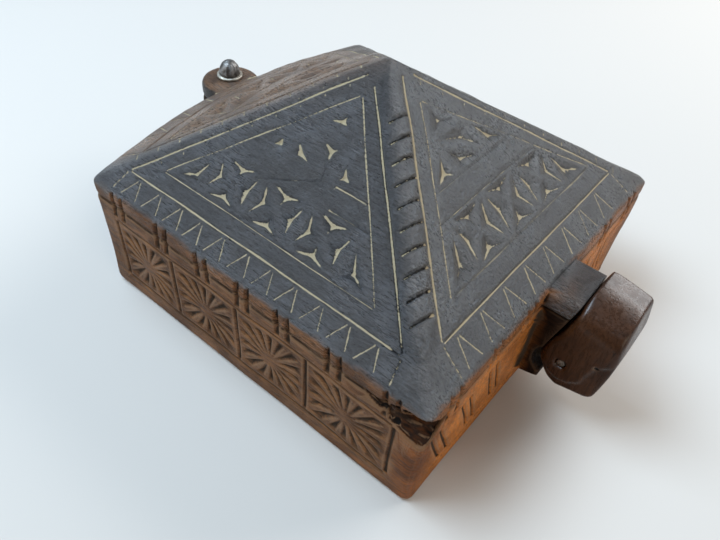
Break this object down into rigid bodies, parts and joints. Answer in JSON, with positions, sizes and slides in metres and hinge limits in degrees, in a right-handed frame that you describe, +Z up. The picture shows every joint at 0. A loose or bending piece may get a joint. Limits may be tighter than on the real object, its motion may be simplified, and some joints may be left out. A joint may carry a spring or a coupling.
{
  "type": "bindi box",
  "caption": "Carved wooden box for bindi powders with a pyramid lid that swings on an iron pin and a turning hasp.",
  "frame": {"origin": "centre of the block's flat foot, on the surface it stands on", "axes": "+X from the foot's centre to the hasp, +Y across to the right seen from the hasp's side, +Z up"},
  "size_m": [0.281, 0.2044, 0.1337],
  "materials": {
    "block_wood": "waxed, worn",
    "lid_wood": "waxed, worn",
    "hasp_wood": "polished by hands",
    "pin_iron": "dark, worn",
    "collar_iron": "dull",
    "rove_iron": "dull",
    "hasp_pin_iron": "worn bright"
  },
  "bodies": {
    "body": {"box_body": "block_wood", "pivot_pin": "pin_iron", "pivot_collar": "collar_iron", "pivot_rove": "rove_iron", "hasp_pin": "hasp_pin_iron"},
    "lid": {"lid": "lid_wood"},
    "hasp": {"hasp": "hasp_wood"}
  },
  "joints": [
    {"name": "lid_swing", "type": "hinge", "parent": "body", "child": "lid", "pos_m": [-0.126, 0.011, 0.0595], "axis": [0, 0, 1], "continuous": true},
    {"name": "hasp_turn", "type": "hinge", "parent": "body", "child": "hasp", "pos_m": [0.119, 0.0027, 0.0325], "axis": [0, 1, 0], "range_deg": [0, 60]}
  ]
}
